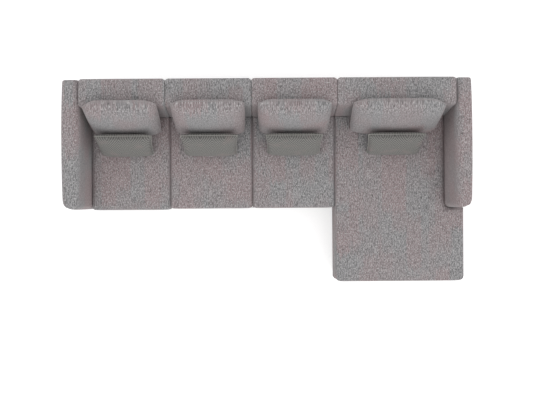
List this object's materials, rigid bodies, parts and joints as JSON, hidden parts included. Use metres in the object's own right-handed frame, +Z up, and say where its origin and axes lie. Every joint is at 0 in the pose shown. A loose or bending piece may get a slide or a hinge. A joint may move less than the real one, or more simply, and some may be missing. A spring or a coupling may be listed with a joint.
{
  "type": "sectional sofa with chaise",
  "caption": "Modular sofa of upholstered units with block arms, loose back cushions, small lumbar pillows and a chaise at the right end.",
  "frame": {"origin": "on the floor, under the middle of the outline", "axes": "+X along the seats towards the chaise, +Y towards the back, +Z up"},
  "size_m": [3.23, 1.63, 0.8617],
  "materials": {
    "sofa_fabric": "matte",
    "pillow_fabric": "matte",
    "frame_wood": "matte",
    "webbing": "matte",
    "dust_cloth": "matte",
    "leg_wood": "satin",
    "plate_steel": "satin"
  },
  "bodies": {
    "sofa": {"base_frame_left": "frame_wood", "base_cover_left": "sofa_fabric", "seat_webbing_left": "webbing", "seat_cushion_left": "sofa_fabric", "back_frame_left": "frame_wood", "back_cover_left": "sofa_fabric", "dust_sheet_left": "dust_cloth", "arm_frame_left": "frame_wood", "arm_cover_left": "sofa_fabric", "leg_left_arm_front": "leg_wood", "leg_left_arm_rear": "leg_wood", "leg_left_front_right": "leg_wood", "leg_left_rear_right": "leg_wood", "base_frame_inner_left": "frame_wood", "base_cover_inner_left": "sofa_fabric", "seat_webbing_inner_left": "webbing", "seat_cushion_inner_left": "sofa_fabric", "back_frame_inner_left": "frame_wood", "back_cover_inner_left": "sofa_fabric", "dust_sheet_inner_left": "dust_cloth", "leg_inner_left_front_left": "leg_wood", "leg_inner_left_front_right": "leg_wood", "leg_inner_left_rear_left": "leg_wood", "leg_inner_left_rear_right": "leg_wood", "base_frame_inner_right": "frame_wood", "base_cover_inner_right": "sofa_fabric", "seat_webbing_inner_right": "webbing", "seat_cushion_inner_right": "sofa_fabric", "back_frame_inner_right": "frame_wood", "back_cover_inner_right": "sofa_fabric", "dust_sheet_inner_right": "dust_cloth", "leg_inner_right_front_left": "leg_wood", "leg_inner_right_front_right": "leg_wood", "leg_inner_right_rear_left": "leg_wood", "leg_inner_right_rear_right": "leg_wood", "base_frame_chaise": "frame_wood", "base_cover_chaise": "sofa_fabric", "seat_webbing_chaise": "webbing", "seat_cushion_chaise": "sofa_fabric", "back_frame_chaise": "frame_wood", "back_cover_chaise": "sofa_fabric", "dust_sheet_chaise": "dust_cloth", "arm_frame_chaise": "frame_wood", "arm_cover_chaise": "sofa_fabric", "leg_chaise_front_left": "leg_wood", "leg_chaise_front_right": "leg_wood", "leg_chaise_arm_front": "leg_wood", "leg_chaise_arm_rear": "leg_wood", "leg_chaise_rear_left": "leg_wood", "joining_plate_1": "plate_steel", "joining_plate_2": "plate_steel", "joining_plate_3": "plate_steel"},
    "loose_cushion_left": {"back_cushion_left": "sofa_fabric"},
    "loose_cushion_inner_left": {"back_cushion_inner_left": "sofa_fabric"},
    "loose_cushion_inner_right": {"back_cushion_inner_right": "sofa_fabric"},
    "loose_cushion_chaise": {"back_cushion_chaise": "sofa_fabric"},
    "loose_pillow_left": {"lumbar_pillow_left": "pillow_fabric"},
    "loose_pillow_inner_left": {"lumbar_pillow_inner_left": "pillow_fabric"},
    "loose_pillow_inner_right": {"lumbar_pillow_inner_right": "pillow_fabric"},
    "loose_pillow_chaise": {"lumbar_pillow_chaise": "pillow_fabric"}
  },
  "joints": [
    {"name": "lift_cushion_left", "type": "slide", "parent": "sofa", "child": "loose_cushion_left", "axis": [0, 0.1483, 0.9889], "range_m": [0, 0.44]},
    {"name": "lift_cushion_inner_left", "type": "slide", "parent": "sofa", "child": "loose_cushion_inner_left", "axis": [0, 0.1483, 0.9889], "range_m": [0, 0.44]},
    {"name": "lift_cushion_inner_right", "type": "slide", "parent": "sofa", "child": "loose_cushion_inner_right", "axis": [0, 0.1483, 0.9889], "range_m": [0, 0.44]},
    {"name": "lift_cushion_chaise", "type": "slide", "parent": "sofa", "child": "loose_cushion_chaise", "axis": [0, 0.1483, 0.9889], "range_m": [0, 0.44]},
    {"name": "lift_pillow_left", "type": "slide", "parent": "sofa", "child": "loose_pillow_left", "axis": [0, 0, 1], "range_m": [0, 0.44]},
    {"name": "lift_pillow_inner_left", "type": "slide", "parent": "sofa", "child": "loose_pillow_inner_left", "axis": [0, 0, 1], "range_m": [0, 0.44]},
    {"name": "lift_pillow_inner_right", "type": "slide", "parent": "sofa", "child": "loose_pillow_inner_right", "axis": [0, 0, 1], "range_m": [0, 0.44]},
    {"name": "lift_pillow_chaise", "type": "slide", "parent": "sofa", "child": "loose_pillow_chaise", "axis": [0, 0, 1], "range_m": [0, 0.44]}
  ]
}
